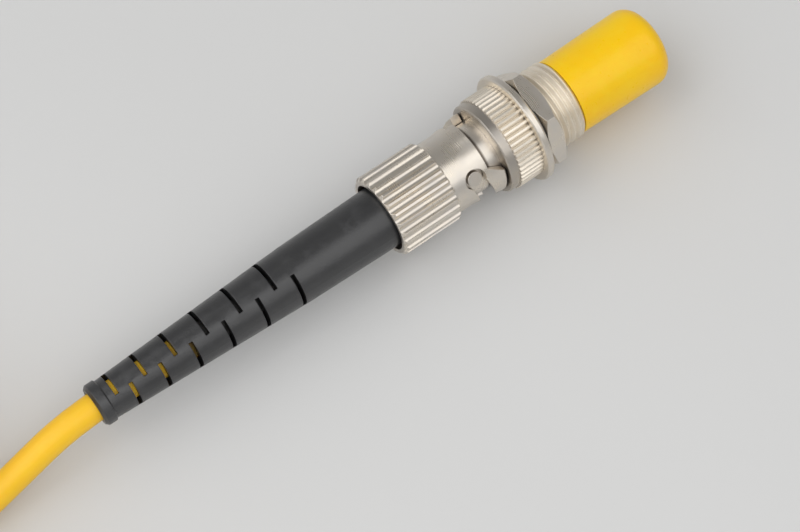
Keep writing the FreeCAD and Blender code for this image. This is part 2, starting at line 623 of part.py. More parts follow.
# Push-on dust cap: thin moulding with a rounded closed end and two inner channels that pass the lugs.
cap = new_body("dust_cap", "bayonet_clock")
cap_solid = turn_solid(cap, "moulded", [
    (cap_mouth, cap_bore),
    (cap_mouth, half("cap_mouth_dia")),
    (cap_floor, half("cap_dia")),
    (cap_end, half("cap_dia")),
    (cap_end, "0"),
    (cap_floor, "0"),
    (cap_floor, cap_bore),
])
end_x = cap_solid.Shape.BoundBox.XMax
end_radius = sheet.get("cap_dia") / 2
end_edges = [
    f"Edge{number}" for number, edge in enumerate(cap_solid.Shape.Edges, 1)
    if abs(edge.BoundBox.XMin - end_x) < 1e-6 and abs(edge.BoundBox.YLength / 2 - end_radius) < 1e-3
]
end_round = cap.newObject("PartDesign::Fillet", "end_round")
end_round.Base = (cap_solid, end_edges)
end_round.setExpression("Radius", "Sizes.cap_round")
cap.Tip = end_round
doc.recompute()
channel_sketch = new_sketch(cap, "channel_outline", "XY_Plane")
channel_side = "(Sizes.lug_dia / 2 + Sizes.channel_clear)"
draw_loop(channel_sketch, rectangle(f"{cap_mouth} - Sizes.cut_overrun", f"{far_lug} + {channel_side}",
                                    f"-{channel_side}", channel_side))
pocket(cap, "lug_channels", channel_sketch, "Sizes.lug_across + 2 * Sizes.channel_clear", both_ways=True)
pieces.append(cap)

# Split lock washer and hexagon panel nut.
pieces.append(ring("lock_washer", lock_back, f"{lock_back} + Sizes.lock_thick",
                   f"{half('thread_dia')} + Sizes.lock_clear", half("lock_dia"), angle="Sizes.lock_turn"))
hexagon = new_body("panel_nut", "hex_clock")
hex_sketch = new_sketch(hexagon, "hexagon", "YZ_Plane", offset=hex_back)
corner = "Sizes.hex_flats / sqrt(3)"
draw_loop(hex_sketch, [
    (corner, "0"),
    (f"{corner} / 2", half("hex_flats")),
    (f"-{corner} / 2", half("hex_flats")),
    (f"-{corner}", "0"),
    (f"-{corner} / 2", f"-{half('hex_flats')}"),
    (f"{corner} / 2", f"-{half('hex_flats')}"),
])
draw_circle(hex_sketch, "0", "0", "Sizes.thread_dia + 2 * Sizes.hex_clear")
hex_pad = hexagon.newObject("PartDesign::Pad", "pad")
hex_pad.Profile = hex_sketch
hex_pad.setExpression("Length", "Sizes.hex_thick")
hexagon.Tip = hex_pad
doc.recompute()
hex_front = f"{hex_back} + Sizes.hex_thick"
turn_cut(hexagon, "corner_chamfers", [
    [(hex_back, half("hex_flats")), (hex_back, f"{corner} + Sizes.hex_chamfer"),
     (f"{hex_back} + 2 * Sizes.hex_chamfer", f"{corner} + Sizes.hex_chamfer")],
    [(hex_front, half("hex_flats")), (hex_front, f"{corner} + Sizes.hex_chamfer"),
     (f"{hex_front} - 2 * Sizes.hex_chamfer", f"{corner} + Sizes.hex_chamfer")],
])
pieces.append(hexagon)

# Free cord: a tube of straight runs and large arcs from inside the boot to the tied hank.
axis_height = sheet.get("flange_dia") / 2
cord_radius = sheet.get("cord_dia") / 2
tail_x = boot.Shape.BoundBox.XMin
hank_low = sheet.get("tie_thick") + sheet.get("tie_clear")
hank_outer = sheet.get("hank_inner") + sheet.get("hank_width")
hank_middle = -sheet.get("hank_end") - hank_outer
inner_turn = sheet.get("hank_side") - sheet.get("hank_inner") - cord_radius
route = [
    FreeCAD.Vector(tail_x + sheet.get("cord_joint"), 0, axis_height),
    FreeCAD.Vector(-37.6, 0, axis_height),
    FreeCAD.Vector(-43.6, -0.4, 3.9),
    FreeCAD.Vector(-49.6, -0.9, 1.9),
    FreeCAD.Vector(-56.2, inner_turn, hank_low + cord_radius),
]


def tube_along(points, radius):
    """Tube along straight runs joined by arcs, each arc as large as its runs allow."""
    edges = []
    start = points[0]
    for before, here, after in zip(points, points[1:], points[2:]):
        inward = (before - here).normalize()
        outward = (after - here).normalize()
        half_turn = (math.pi - inward.getAngle(outward)) / 2
        reach = 0.45 * min((before - here).Length, (after - here).Length)
        bend = reach / math.tan(half_turn)
        into, out = here + inward * reach, here + outward * reach
        top = here + (inward + outward).normalize() * (bend / math.cos(half_turn) - bend)
        edges.append(Part.LineSegment(start, into).toShape())
        edges.append(Part.Arc(into, top, out).toShape())
        print(f"cord bend radius {bend:.1f} mm")
        start = out
    edges.append(Part.LineSegment(start, points[-1]).toShape())
    path = Part.Wire(edges)
    section = Part.Wire(Part.Circle(points[0], points[1] - points[0], radius).toShape())
    tube = path.makePipeShell([section], True, False)
    print(f"cord tube volume ratio {tube.Volume / (math.pi * radius ** 2 * path.Length):.4f}")
    return tube


run = doc.addObject("Part::Feature", "cord_run")
run.Label = "cord_run"
run.Shape = tube_along(route, cord_radius)
run.Placement = FreeCAD.Placement()
pieces.append(run)


def racetrack(radius):
    """Closed outline of two straight runs and two half circles, about the hank's near centre."""
    straight = -sheet.get("hank_run")
    low, high = FreeCAD.Vector(0, -radius, 0), FreeCAD.Vector(0, radius, 0)
    far_low, far_high = FreeCAD.Vector(straight, -radius, 0), FreeCAD.Vector(straight, radius, 0)
    return Part.Wire([
        Part.Arc(low, FreeCAD.Vector(radius, 0, 0), high).toShape(),
        Part.LineSegment(high, far_high).toShape(),
        Part.Arc(far_high, FreeCAD.Vector(straight - radius, 0, 0), far_low).toShape(),
        Part.LineSegment(far_low, low).toShape(),
    ])


# Spare cord folded into an oblong hank, as one closed solid of its outer shape.
hank = doc.addObject("Part::Feature", "cord_hank")
hank.Label = "cord_hank"
rise = FreeCAD.Vector(0, 0, sheet.get("hank_height"))
hollow = Part.Face(racetrack(sheet.get("hank_inner"))).extrude(rise)
hank.Shape = Part.Face(racetrack(hank_outer)).extrude(rise).cut(hollow)
hank.Placement.Base = FreeCAD.Vector(hank_middle, sheet.get("hank_side"), hank_low)
pieces.append(hank)

# Hook-and-loop straps round the two straight runs.
straps = []
for name, side in (("near_strap", "-"), ("far_strap", "+")):
    across = f"Sizes.hank_side {side} (Sizes.hank_inner + Sizes.hank_width / 2)"
    middle = "-Sizes.hank_end - Sizes.hank_inner - Sizes.hank_width - Sizes.hank_run / 2"
    outer = doc.addObject("Part::Box", f"{name}_outside")
    inner = doc.addObject("Part::Box", f"{name}_inside")
    for box, wall in ((outer, "Sizes.tie_thick"), (inner, "0")):
        margin = f"({wall} + Sizes.tie_clear)"
        box.setExpression("Length", "Sizes.tie_width")
        box.setExpression("Width", f"Sizes.hank_width + 2 * {margin}")
        box.setExpression("Height", f"Sizes.hank_height + 2 * {margin}")
        box.setExpression("Placement.Base.x", f"{middle} - Sizes.tie_width / 2")
        box.setExpression("Placement.Base.y", f"{across} - Sizes.hank_width / 2 - {margin}")
        box.setExpression("Placement.Base.z", f"Sizes.tie_thick + Sizes.tie_clear - {margin}")
    strap = doc.addObject("Part::Cut", name)
    strap.Base = outer
    strap.Tool = inner
    straps.append(strap)
ties = doc.addObject("Part::Compound", "hank_ties")
ties.Label = "hank_ties"
ties.Links = straps
pieces.append(ties)

doc.recompute()
for item in doc.Objects:
    if "Invalid" in item.State or "Error" in item.State:
        raise ValueError(f"{item.Label} failed: {item.State}")
for piece in pieces:
    if piece.Shape.isNull() or not piece.Shape.isValid():
        raise ValueError(f"{piece.Label} has no valid shape")

os.makedirs("parts", exist_ok=True)
for piece in pieces:
    piece.Shape.exportStep(f"parts/{piece.Label}.step")
    box = piece.Shape.BoundBox
    print(f"{piece.Label}: {len(piece.Shape.Solids)} solid, {piece.Shape.Volume:.2f} mm3, "
          f"x {box.XMin:.2f} to {box.XMax:.2f}, y {box.YMin:.2f} to {box.YMax:.2f}, "
          f"z {box.ZMin:.2f} to {box.ZMax:.2f}")
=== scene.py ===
# %% [markdown]
# # A bayonet fibre adapter with its pigtail
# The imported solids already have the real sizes, so this lesson only dresses them. It adds what a plain
# solid can't show: the screw thread, the nut's lead-in, the cord with its tied hank, the straps, and a
# finish on every piece. Everything is in metres, in the frame of the solids: X runs along the adapter's
# axis, Z is up.

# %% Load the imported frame
import json
import math

import bmesh
import bpy
from mathutils import Matrix, Vector


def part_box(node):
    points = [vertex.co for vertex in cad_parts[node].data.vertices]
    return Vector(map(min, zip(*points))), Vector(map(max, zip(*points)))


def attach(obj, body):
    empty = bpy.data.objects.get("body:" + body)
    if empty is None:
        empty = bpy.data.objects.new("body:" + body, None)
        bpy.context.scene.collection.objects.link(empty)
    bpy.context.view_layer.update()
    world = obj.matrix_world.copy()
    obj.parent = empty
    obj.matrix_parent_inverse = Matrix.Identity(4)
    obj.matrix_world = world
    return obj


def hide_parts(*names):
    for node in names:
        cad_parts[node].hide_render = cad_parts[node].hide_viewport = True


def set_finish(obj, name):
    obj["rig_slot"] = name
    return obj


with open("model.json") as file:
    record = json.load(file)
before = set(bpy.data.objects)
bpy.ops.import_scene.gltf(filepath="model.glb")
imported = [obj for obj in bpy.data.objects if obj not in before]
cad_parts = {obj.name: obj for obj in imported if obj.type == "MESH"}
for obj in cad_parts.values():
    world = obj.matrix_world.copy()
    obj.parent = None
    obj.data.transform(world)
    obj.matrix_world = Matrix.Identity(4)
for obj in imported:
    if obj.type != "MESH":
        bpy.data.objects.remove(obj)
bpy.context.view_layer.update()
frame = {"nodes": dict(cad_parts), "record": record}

MM = 0.001
nodes = frame["nodes"]

# %% [markdown]
# ## The camera
# The photograph looks down on the adapter from the cord's side. A camera could be placed by eye, but its
# distance and lens also set how much the near end grows, so both come from points measured along the
# axis. An azimuth, an elevation and a distance from a target are easier to read and change than a matrix.

# %% Camera
CAMERA_AZIMUTH = -36.44
CAMERA_ELEVATION = 65.45
CAMERA_DISTANCE = 218.45 * MM
CAMERA_TARGET = Vector((-1.77, -5.51, 6.15)) * MM
CAMERA_LENS = 98.5
CAMERA_NEAR = 10 * MM


def add_object(name, data):
    """Object with its data, linked to the scene."""
    added = bpy.data.objects.new(name, data)
    bpy.context.scene.collection.objects.link(added)
    return added


def direction_at(azimuth, elevation):
    """Unit vector at an azimuth from -Y and an elevation from the floor, both in degrees."""
    a = math.radians(azimuth)
    e = math.radians(elevation)
    return Vector((math.sin(a) * math.cos(e), -math.cos(a) * math.cos(e), math.sin(e)))


towards_camera = direction_at(CAMERA_AZIMUTH, CAMERA_ELEVATION)
camera_data = bpy.data.cameras.new("camera")
camera_data.lens = CAMERA_LENS
camera_data.clip_start = CAMERA_NEAR
camera = add_object("camera", camera_data)
camera.location = CAMERA_TARGET + towards_camera * CAMERA_DISTANCE
camera.rotation_euler = towards_camera.to_track_quat("Z", "Y").to_euler()
bpy.context.scene.camera = camera
print(f"camera at {[round(c / MM) for c in camera.location]} mm")

# %% [markdown]
# ## The free cord
# A simplex patch cord is a 3 mm jacket round yarn and one buffered fibre. It leaves the boot straight,
# sinks under its own weight and lies on the table. A swept mesh would work, but a NURBS curve with a round
# bevel keeps the line smooth with few points, and they can be the same few that the solid follows.

# %% The stretch between the boot and the hank
CORD_RADIUS = 1.5 * MM
body_low, body_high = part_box("adapter_body")
axis_height = (body_low.z + body_high.z) / 2
boot_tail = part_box("strain_boot")[0].x
route = [Vector(point) * MM for point in (
    (-33.04, 0.0, 6.15),
    (-37.6, 0.0, 6.15),
    (-43.6, -0.4, 3.9),
    (-49.6, -0.9, 1.9),
    (-56.2, -1.5, 1.9),
)]
print(f"the cord leaves the boot at x = {boot_tail / MM:.1f} mm")

# %% [markdown]
# ## The hank
# Spare cord is folded into a flat oblong hank and tied. It could be a stack of closed rings, but a real
# hank is one length of cord, so the turns are worked out as more points of the same line: an inner column
# that climbs turn by turn, a step outwards on top, and an outer column that comes down to the bare end.

# %% One lap of the hank
TURN_STEP = 3.2 * MM
ARC_STEPS = 8
hank_low, hank_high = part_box("cord_hank")
hank_radius = (hank_high.y - hank_low.y) / 2
hank_side = (hank_high.y + hank_low.y) / 2
near_x = hank_high.x - hank_radius
far_x = hank_low.x + hank_radius
outer_turn = hank_radius - CORD_RADIUS
inner_turn = outer_turn - TURN_STEP


def on_bend(bend_x, radius, angle):
    """Flat point of a bend whose middle lies on the hank's centre line."""
    return Vector((bend_x + radius * math.cos(angle), hank_side + radius * math.sin(angle), 0))


def lap(radius):
    """Flat points of one lap: out on the adapter's side, round the far end, back, round the near end."""
    middle_x = (near_x + far_x) / 2
    points = [Vector((near_x, hank_side - radius, 0)), Vector((middle_x, hank_side - radius, 0))]
    for step in range(ARC_STEPS + 1):
        points.append(on_bend(far_x, radius, -math.pi / 2 - math.pi * step / ARC_STEPS))
    points.append(Vector((middle_x, hank_side + radius, 0)))
    for step in range(ARC_STEPS):
        points.append(on_bend(near_x, radius, math.pi / 2 - math.pi * step / ARC_STEPS))
    return points


print(f"{len(lap(inner_turn))} points in a lap")

# %% Both columns of turns
INNER_LAPS = 4
OUTER_LAPS = 2
RUN_POINTS = 2
LAST_POINTS = 13


def climb(points, start, end):
    """The same points with heights that change evenly along their length."""
    reach = [0.0]
    for before, here in zip(points, points[1:]):
        reach.append(reach[-1] + (here - before).length)
    return [Vector((p.x, p.y, start + (end - start) * r / reach[-1])) for p, r in zip(points, reach)]


lowest = hank_low.z + CORD_RADIUS
highest = hank_high.z - CORD_RADIUS
outer_lap = lap(outer_turn)
# The outer column starts at the far bend and ends part of the way round its last lap.
outer_points = outer_lap[RUN_POINTS:] + outer_lap * OUTER_LAPS + outer_lap[:LAST_POINTS]
cord_points = (
    route
    + climb(lap(inner_turn) * INNER_LAPS, lowest, highest)
    + [Vector((near_x, hank_side - inner_turn, highest))]
    + climb(outer_points, highest, lowest)
)
print(f"{len(cord_points)} points on the cord's line")

# %% The cord as one NURBS line
BEVEL_UNIT = 1.0
BEVEL_STEPS = 6
CURVE_ORDER = 3
CURVE_STEPS = 4
cord_data = bpy.data.curves.new("pigtail_cord", "CURVE")
cord_data.dimensions = "3D"
cord_data.bevel_depth = BEVEL_UNIT
cord_data.bevel_resolution = BEVEL_STEPS
cord_data.use_fill_caps = True
line = cord_data.splines.new("NURBS")
line.points.add(len(cord_points) - 1)
for point, spot in zip(line.points, cord_points):
    point.co = (*spot, 1.0)
    point.radius = CORD_RADIUS
line.order_u = CURVE_ORDER
line.use_endpoint_u = True
line.resolution_u = CURVE_STEPS
line.use_smooth = True
cord = add_object("pigtail_cord", cord_data)
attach(cord, "adapter")
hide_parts("cord_run", "cord_hank")
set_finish(cord, "cord_jacket")
print(f"cord line of {line.calc_length():.3f} m")

# %% [markdown]
# ## Pieces from bmesh
# The other added pieces are meshes. Edit mode's operators depend on what is selected, so each piece has a
# function that fills a bmesh, and one helper does the rest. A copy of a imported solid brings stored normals
# along, which no longer fit once its faces have changed, so they are removed before edges are marked sharp
# by their angle.

# %% A mesh piece that rides on a body
SHARP_ANGLE = math.radians(32)


def filled_mesh(name, filler):
    """Mesh from a function that fills a bmesh, with its faces turned outwards."""
    shape = bmesh.new()
    filler(shape)
    bmesh.ops.recalc_face_normals(shape, faces=shape.faces)
    mesh = bpy.data.meshes.new(name)
    shape.to_mesh(mesh)
    shape.free()
    return mesh


def add_piece(name, filler, body, slot, replaced=()):
    """Mesh piece that rides on a body and has a material slot."""
    mesh = filled_mesh(name, filler)
    if "custom_normal" in mesh.attributes:
        mesh.attributes.remove(mesh.attributes["custom_normal"])
    mesh.shade_smooth()
    mesh.set_sharp_from_angle(angle=SHARP_ANGLE)
    piece = add_object(name, mesh)
    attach(piece, body)
    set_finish(piece, slot)
    if replaced:
        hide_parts(*replaced)
    print(f"{name}: {len(mesh.polygons)} faces")
    return piece


print(f"edges over {math.degrees(SHARP_ANGLE):.0f} degrees stay sharp")

# %% [markdown]
# ## The bare end
# The far end of a pigtail is cut plain, ready to be stripped and spliced. A capped curve shows a solid
# yellow disc there, so two small pieces add what a cut shows: the white buffered fibre and a tuft of
# yellow yarn. The strands are rods of uneven length and splay, which reads as a cut bundle.

# %% Fibre at the cut
FIBRE_RADIUS = 0.45 * MM
FIBRE_SHOWS = 2.0 * MM
FIBRE_SIDES = 24
INTO_JACKET = Vector((-1.0 * MM, 0, 0))
cut_place = cord_points[-1]


def rod(shape, start, end, start_radius, end_radius, sides):
    """Closed rod that tapers from one point to another."""
    along = end - start
    turn = along.to_track_quat("Z", "Y").to_matrix().to_4x4()
    bmesh.ops.create_cone(
        shape, cap_ends=True, segments=sides, radius1=start_radius, radius2=end_radius,
        depth=along.length, matrix=Matrix.Translation((start + end) / 2) @ turn,
    )


def fill_fibre(shape):
    """Buffered fibre that stands out of the jacket."""
    tip = cut_place + Vector((FIBRE_SHOWS, 0, 0))
    rod(shape, cut_place + INTO_JACKET, tip, FIBRE_RADIUS, FIBRE_RADIUS, FIBRE_SIDES)


cut_fibre = add_piece("cut_fibre", fill_fibre, "adapter", "buffer_coat")

# %% Yarn at the cut
STRAND_COUNT = 12
STRAND_SIDES = 8
STRAND_RADIUS = 0.2 * MM
STRAND_TAPER = 0.6
STRAND_RING = 0.85 * MM
STRAND_SHOWS = 0.6 * MM
SHOWS_VARIES = 0.35 * MM
SHOWS_TURN = 2.4
STRAND_SPLAY = 0.95 * MM
SPLAY_VARIES = 0.12 * MM
SPLAY_TURN = 1.7


def fill_yarn(shape):
    """Ring of strands round the fibre."""
    for strand in range(STRAND_COUNT):
        angle = 2 * math.pi * strand / STRAND_COUNT
        side = Vector((0, math.cos(angle), math.sin(angle)))
        length = STRAND_SHOWS + SHOWS_VARIES * math.sin(strand * SHOWS_TURN)
        splay = STRAND_SPLAY + SPLAY_VARIES * math.cos(strand * SPLAY_TURN)
        root = cut_place + side * STRAND_RING + INTO_JACKET
        tip = cut_place + side * splay + Vector((length, 0, 0))
        rod(shape, root, tip, STRAND_RADIUS, STRAND_TAPER * STRAND_RADIUS, STRAND_SIDES)


cut_yarn = add_piece("cut_yarn", fill_yarn, "adapter", "aramid")

# %% [markdown]
# ## The straps
# Two hook-and-loop straps hold the hank. A box with a hole would read as metal, so each strap is a thin
# band that follows the rounded bundle, goes a little further than once round, and ends in a tail on its
# own outside. The band is a row of small rings, one for each step of the way, joined by faces.

# %% The way round a bundle
STRAP_THICK = 0.36 * MM
STRAP_CORNER = 2.0 * MM
tie_low, tie_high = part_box("hank_ties")
strap_width = tie_high.x - tie_low.x
bundle_width = hank_radius - (inner_turn - CORD_RADIUS) + STRAP_THICK
bundle_height = tie_high.z - tie_low.z - STRAP_THICK
side_out = [Vector((0, y, z)) for y, z in ((-1, 0), (0, 1), (1, 0), (0, -1))]


def rounded_box(share, wide, high, corner):
    """Point and outward direction on a rounded rectangle, a share of the way round from its left side."""
    straight_y = wide - 2 * corner
    straight_z = high - 2 * corner
    quarter = math.pi * corner / 2
    left = share % 1 * (2 * straight_y + 2 * straight_z + 4 * quarter)
    for number, out in enumerate(side_out):
        on = side_out[(number + 1) % len(side_out)]
        straight = straight_y if out.y == 0 else straight_z
        turn_y, turn_z = (out + on).yz
        middle = Vector((0, turn_y * straight_y / 2, turn_z * straight_z / 2))
        if left <= straight:
            return middle + out * corner - on * (straight - left), out
        left -= straight
        if left <= quarter:
            angle = left / corner
            away = out * math.cos(angle) + on * math.sin(angle)
            return middle + away * corner, away
        left -= quarter
    # Rounding can leave a trace over: that is the end of the last corner.
    return middle + on * corner, on


print(f"bundles of {bundle_width / MM:.1f} x {bundle_height / MM:.1f} mm")

# %% A band round each bundle
STRAP_LAPS = 1.16
STRAP_STARTS = 0.3
STRAP_STEPS = 120
TAIL_STARTS = 1.22
TAIL_RISE = 0.06
BAND_CORNERS = ((-0.5, -0.5), (0.5, -0.5), (0.5, 0.5), (-0.5, 0.5))


def join_rings(shape, rings, capped=True):
    """Skin over a row of rings with equal counts of points."""
    for before, here in zip(rings, rings[1:]):
        for k in range(len(here)):
            following = (k + 1) % len(here)
            shape.faces.new((before[k], before[following], here[following], here[k]))
    if capped:
        shape.faces.new(rings[0])
        shape.faces.new(rings[-1])


def fill_straps(shape):
    """Both bands, each with its tail lifted by its own thickness."""
    for side in (-1, 1):
        across_y = hank_side + side * (inner_turn + TURN_STEP / 2)
        centre = Vector(((tie_low.x + tie_high.x) / 2, across_y, (tie_low.z + tie_high.z) / 2))
        rings = []
        for step in range(STRAP_STEPS + 1):
            share = STRAP_STARTS + STRAP_LAPS * step / STRAP_STEPS
            spot, away = rounded_box(share, bundle_width, bundle_height, STRAP_CORNER)
            lift = STRAP_THICK * min(1, max(0, (share - TAIL_STARTS) / TAIL_RISE))
            ring = []
            for across, out in BAND_CORNERS:
                place = centre + spot + away * (lift + out * STRAP_THICK)
                ring.append(shape.verts.new(place + Vector((across * strap_width, 0, 0))))
            rings.append(ring)
        join_rings(shape, rings)


straps = add_piece("hank_straps", fill_straps, "adapter", "strap", ["hank_ties"])

# %% [markdown]
# ## What the cord is
# A curve only has a shape. Someone who uses the part also wants to know how long, thick and stiff the cord
# is, where it leaves the body and how it lies. The length is a one metre pigtail less what the boot and the
# plug hold.

# %% [markdown]
# ## The screw thread
# The panel nut runs on a fine 0.75 mm thread. The solid has a plain cylinder there, because a modelled
# helix makes a heavy solid. A bump in the material would leave the outline smooth, so the thread is real
# geometry here: a copy of the body loses its plain cylinder and gets a grid whose radius follows the screw.

# %% Radius of the screw
THREAD_PITCH = 0.75 * MM
THREAD_RADIUS = 4.5 * MM
THREAD_DEPTH = 0.4 * MM
THREAD_FADE = 0.25 * MM
FLANK_SLOPE = 1.3
CREST_FLAT = 0.12


def screw_radius(x, angle, start, end):
    """Distance of the thread from the axis, smooth where the thread starts and ends."""
    phase = (x / THREAD_PITCH - angle / (2 * math.pi)) % 1
    groove = min(1, max(0, FLANK_SLOPE * (1 - abs(2 * phase - 1)) - CREST_FLAT))
    fade = min(1, (x - start) / THREAD_FADE, (end - x) / THREAD_FADE)
    return THREAD_RADIUS - THREAD_DEPTH * groove * fade


print(f"thread M{2 * THREAD_RADIUS / MM:.0f} x {THREAD_PITCH / MM}")

# %% Adapter body with its thread
THREAD_ROWS = 120
SAME_PLACE = 1e-6
ROUND_SLACK = 5 * SAME_PLACE
WASHER_GAP = 0.02 * MM
panel_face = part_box("lock_washer")[0].x - WASHER_GAP


def angle_of(spot):
    """Angle of a point about the adapter's axis."""
    return math.atan2(spot.z - axis_height, spot.y)


def on_plain_cylinder(spot):
    """Whether a point of the solid lies on the cylinder that stands for the thread."""
    out = math.hypot(spot.y, spot.z - axis_height)
    return abs(out - THREAD_RADIUS) < ROUND_SLACK and spot.x > panel_face - SAME_PLACE


def fill_threaded_body(shape):
    """Copy of the body whose plain cylinder gives way to the screw."""
    shape.from_mesh(nodes["adapter_body"].data)
    bmesh.ops.remove_doubles(shape, verts=shape.verts, dist=SAME_PLACE)
    plain = [face for face in shape.faces if all(on_plain_cylinder(v.co) for v in face.verts)]
    start = min(v.co.x for face in plain for v in face.verts)
    end = max(v.co.x for face in plain for v in face.verts)
    bmesh.ops.delete(shape, geom=plain, context="FACES")
    edges = [e for e in shape.edges if e.is_boundary]
    rims = []
    for station in (start, end):
        rim = {v for e in edges for v in e.verts if abs(v.co.x - station) < SAME_PLACE}
        rims.append(sorted(rim, key=lambda v: angle_of(v.co)))
    angles = [angle_of(v.co) for v in rims[0]]
    rows = [rims[0]]
    for row in range(1, THREAD_ROWS):
        x = start + (end - start) * row / THREAD_ROWS
        ring = []
        for angle in angles:
            radius = screw_radius(x, angle, start, end)
            spot = (x, radius * math.cos(angle), axis_height + radius * math.sin(angle))
            ring.append(shape.verts.new(spot))
        rows.append(ring)
    rows.append(rims[1])
    join_rings(shape, rows, capped=False)
    print(f"thread of {(end - start) / MM:.2f} mm on {len(rims[0])} and {len(rims[1])} points")


threaded_body = add_piece(
    "threaded_body", fill_threaded_body, "adapter", "nickel_plate", ["adapter_body"])

# %% [markdown]
# ## The lead-in of the coupling nut
# A bayonet nut finds the two lugs of the barrel by feel. From each slot's entry its front edge is cut back,
# so a lug slides along it until it meets the full edge on the entry's other side. The solid has a plain
# front edge. Moved edge points would bend the cone behind them, so a boolean cuts off a curved wedge for
# each half.

# %% Wedges in front of the nut
LEAD_DEPTH = 1.7 * MM
LEAD_STARTS = math.radians(-52)
LEAD_LEVEL = math.radians(100)
LEAD_RISE = math.radians(16)
LEAD_STEPS = 58
WEDGE_INSIDE = 3.0 * MM
WEDGE_OUTSIDE = 6.0 * MM
WEDGE_MARGIN = 0.2 * MM
nut_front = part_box("coupling_nut")[1].x


def round_axis(x, radius, turn):
    """Point at a turn about the adapter's axis, counted from the top towards -Y."""
    return Vector((x, -radius * math.sin(turn), axis_height + radius * math.cos(turn)))


def fill_wedges(shape):
    """What each half of the nut's front edge loses: a level stretch, then a ramp back to the full edge."""
    clear = nut_front + 2 * WEDGE_MARGIN
    for half in (0, math.pi):
        rings = []
        for step in range(LEAD_STEPS + 1):
            turned = (LEAD_LEVEL + LEAD_RISE) * step / LEAD_STEPS
            rise = max(0, (turned - LEAD_LEVEL) / LEAD_RISE)
            back = nut_front - LEAD_DEPTH + (LEAD_DEPTH + WEDGE_MARGIN) * rise
            corners = (
                (back, WEDGE_INSIDE), (back, WEDGE_OUTSIDE),
                (clear, WEDGE_OUTSIDE), (clear, WEDGE_INSIDE),
            )
            turn = half + LEAD_STARTS + turned
            rings.append([shape.verts.new(round_axis(x, radius, turn)) for x, radius in corners])
        join_rings(shape, rings)


print(f"cut back {LEAD_DEPTH / MM:.1f} mm over {math.degrees(LEAD_LEVEL):.0f} degrees of each half")

# %% Coupling nut less the wedges


def fill_plain_nut(shape):
    """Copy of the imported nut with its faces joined."""
    shape.from_mesh(nodes["coupling_nut"].data)
    bmesh.ops.remove_doubles(shape, verts=shape.verts, dist=SAME_PLACE)


def fill_stepped_nut(shape):
    """Nut less the wedges, by a boolean between two objects that are deleted again."""
    plain = add_object("plain_nut", filled_mesh("plain_nut", fill_plain_nut))
    wedges = add_object("wedges", filled_mesh("wedges", fill_wedges))
    trim = plain.modifiers.new("trim", "BOOLEAN")
    trim.operation = "DIFFERENCE"
    trim.solver = "EXACT"
    trim.object = wedges
    evaluated = plain.evaluated_get(bpy.context.evaluated_depsgraph_get())
    shape.from_mesh(evaluated.data)
    for used in (plain, wedges):
        bpy.data.objects.remove(used)
    bmesh.ops.remove_doubles(shape, verts=shape.verts, dist=SAME_PLACE)


stepped_nut = add_piece(
    "stepped_nut", fill_stepped_nut, "coupling_nut", "nickel_plate", ["coupling_nut"])

# %% [markdown]
# ## Arithmetic on sockets
# A finish is a small sum: noise times a strength, one minus a mask. Wiring each Math node by hand hides the
# sum, so one class wraps a socket and lets Python's own operators add the nodes.

# %% A socket that takes part in sums


def operator(operation, swapped=False):
    """Python operator that adds one Math node."""
    def apply(self, other):
        first, second = (other, self) if swapped else (self, other)
        return self.graph.node("ShaderNodeMath", {"operation": operation}, {0: first, 1: second})
    return apply


class Signal:
    """A shader socket that can stand in an ordinary expression."""

    def __init__(self, graph, socket):
        self.graph = graph
        self.socket = socket

    __add__ = operator("ADD")
    __radd__ = operator("ADD", swapped=True)
    __sub__ = operator("SUBTRACT")
    __rsub__ = operator("SUBTRACT", swapped=True)
    __mul__ = operator("MULTIPLY")
    __rmul__ = operator("MULTIPLY", swapped=True)
    __pow__ = operator("POWER")


print("signals add, subtract, multiply and take powers")

# %% [markdown]
# ## Nodes from one method
# Noise, ramps, mixes and bumps all need the same three things: a type, settings and sockets. Making each by
# hand repeats a few lines a hundred times. One method does it for materials and for the sky, and a finish
# adds short names for the nodes that metal and plastic need.

# %% The one method that adds nodes


def set_stops(ramp, stops):
    """Give a new ramp, which has two stops, the colours at two positions."""
    for element, (position, colour) in zip(ramp.elements, stops):
        element.position = position
        element.color = (*colour, 1.0)


class Graph:
    """The nodes of a material or of the sky."""

    def __init__(self, tree):
        self.tree = tree

    def node(self, kind, settings, sockets, output=0):
        """Add a node: its settings first, then the values or links of its sockets."""
        made = self.tree.nodes.new(kind)
        for key, value in settings.items():
            if key == "stops":
                set_stops(made.color_ramp, value)
            else:
                setattr(made, key, value)
        for key, value in sockets.items():
            self.join(value, made.inputs[key])
        return Signal(self, made.outputs[output])

    def join(self, value, socket):
        """Link a signal to a socket, or set a plain value on it."""
        if isinstance(value, Signal):
            self.tree.links.new(value.socket, socket)
        else:
            socket.default_value = value

    def ramp(self, signal, *stops):
        """Colours at two stops along a signal."""
        return self.node("ShaderNodeValToRGB", {"stops": stops}, {"Fac": signal})


print("graphs can add nodes")

# %% A finish
CREVICE_SAMPLES = 8
EDGE_SAMPLES = 6
DRIFT_LOW = 0.3
DRIFT_HIGH = 0.7
MIX_SHARE = 0
MIX_FIRST = 6
MIX_SECOND = 7
MIX_RESULT = 2


